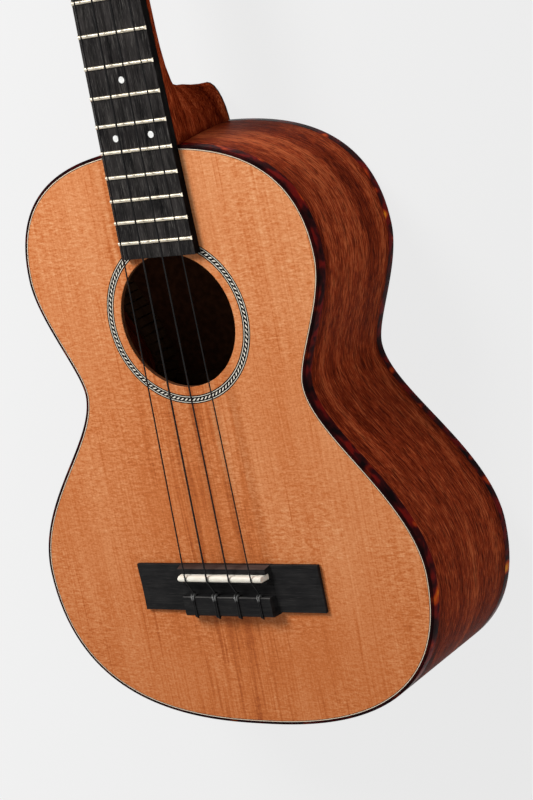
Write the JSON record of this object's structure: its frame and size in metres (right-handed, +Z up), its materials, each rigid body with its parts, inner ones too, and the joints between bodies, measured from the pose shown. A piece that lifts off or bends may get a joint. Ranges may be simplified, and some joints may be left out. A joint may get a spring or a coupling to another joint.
{
  "type": "tenor ukulele",
  "caption": "Small fretted string instrument: waisted hollow body with round sound hole, neck, tie bridge, nylon strings, open worm-and-gear tuners that turn in mesh.",
  "frame": {"origin": "centre of the bounding box in X and Y, on the flat back's plane in Z", "axes": "+X across the body towards the treble side, +Y along the neck towards the headstock, +Z up out of the soundboard, which slopes down 3.3 degrees towards the neck"},
  "size_m": [0.2306, 0.6681, 0.0906],
  "materials": {
    "cedar_top": "satin oiled straight-grained conifer",
    "mahogany": "satin reddish-brown hardwood",
    "inner_wood": "bare sanded",
    "tortoiseshell": "polished dark tortoiseshell pattern",
    "white_line": "satin",
    "black_wood": "oiled black hardwood",
    "bone": "satin off-white",
    "fret_metal": "polished nickel silver",
    "tuner_metal": "nickel plated",
    "gear_brass": "machined",
    "black_nylon": "smooth monofilament"
  },
  "bodies": {
    "instrument": {"soundboard": "cedar_top", "side_left": "mahogany", "side_right": "mahogany", "back": "mahogany", "neck": "mahogany", "neck_block": "inner_wood", "tail_block": "inner_wood", "lining_top_left": "inner_wood", "lining_top_right": "inner_wood", "lining_back_left": "inner_wood", "lining_back_right": "inner_wood", "bridge_plate": "inner_wood", "fan_brace_left": "inner_wood", "fan_brace_right": "inner_wood", "soundboard_brace_upper": "inner_wood", "soundboard_brace_lower": "inner_wood", "back_brace_upper": "inner_wood", "back_brace_lower": "inner_wood", "top_binding": "tortoiseshell", "back_binding": "tortoiseshell", "purfling": "white_line", "rosette": "white_line", "fingerboard": "black_wood", "bridge": "black_wood", "heel_cap": "black_wood", "head_veneer": "black_wood", "nut": "bone", "saddle": "bone", "fret_01": "fret_metal", "fret_02": "fret_metal", "fret_03": "fret_metal", "fret_04": "fret_metal", "fret_05": "fret_metal", "fret_06": "fret_metal", "fret_07": "fret_metal", "fret_08": "fret_metal", "fret_09": "fret_metal", "fret_10": "fret_metal", "fret_11": "fret_metal", "fret_12": "fret_metal", "fret_13": "fret_metal", "fret_14": "fret_metal", "fret_15": "fret_metal", "fret_16": "fret_metal", "tuner_plate_g": "tuner_metal", "tuner_plate_c": "tuner_metal", "tuner_plate_e": "tuner_metal", "tuner_plate_a": "tuner_metal", "string_g": "black_nylon", "string_c": "black_nylon", "string_e": "black_nylon", "string_a": "black_nylon"},
    "button_g": {"tuner_button_g": "tuner_metal"},
    "post_g": {"tuner_post_g": "gear_brass"},
    "button_c": {"tuner_button_c": "tuner_metal"},
    "post_c": {"tuner_post_c": "gear_brass"},
    "button_e": {"tuner_button_e": "tuner_metal"},
    "post_e": {"tuner_post_e": "gear_brass"},
    "button_a": {"tuner_button_a": "tuner_metal"},
    "post_a": {"tuner_post_a": "gear_brass"}
  },
  "joints": [
    {"name": "button_g_turn", "type": "hinge", "parent": "instrument", "child": "button_g", "pos_m": [-0.019, 0.2317, 0.02714], "axis": [1, 0, 0], "continuous": true},
    {"name": "post_g_turn", "type": "hinge", "parent": "instrument", "child": "post_g", "pos_m": [-0.019, 0.22856, 0.04473], "axis": [0, 0.2297, 0.9733], "continuous": true},
    {"name": "button_c_turn", "type": "hinge", "parent": "instrument", "child": "button_c", "pos_m": [-0.019, 0.28815, 0.01382], "axis": [1, 0, 0], "continuous": true},
    {"name": "post_c_turn", "type": "hinge", "parent": "instrument", "child": "post_c", "pos_m": [-0.019, 0.28501, 0.03141], "axis": [0, 0.2297, 0.9733], "continuous": true},
    {"name": "button_e_turn", "type": "hinge", "parent": "instrument", "child": "button_e", "pos_m": [0.019, 0.28815, 0.01382], "axis": [1, 0, 0], "continuous": true},
    {"name": "post_e_turn", "type": "hinge", "parent": "instrument", "child": "post_e", "pos_m": [0.019, 0.28501, 0.03141], "axis": [0, 0.2297, 0.9733], "continuous": true},
    {"name": "button_a_turn", "type": "hinge", "parent": "instrument", "child": "button_a", "pos_m": [0.019, 0.2317, 0.02714], "axis": [1, 0, 0], "continuous": true},
    {"name": "post_a_turn", "type": "hinge", "parent": "instrument", "child": "post_a", "pos_m": [0.019, 0.22856, 0.04473], "axis": [0, 0.2297, 0.9733], "continuous": true}
  ],
  "couplings": [
    {"joint": "post_g_turn", "follows": "button_g_turn", "ratio": 0.071429},
    {"joint": "post_c_turn", "follows": "button_c_turn", "ratio": 0.071429},
    {"joint": "post_e_turn", "follows": "button_e_turn", "ratio": 0.071429},
    {"joint": "post_a_turn", "follows": "button_a_turn", "ratio": 0.071429}
  ]
}
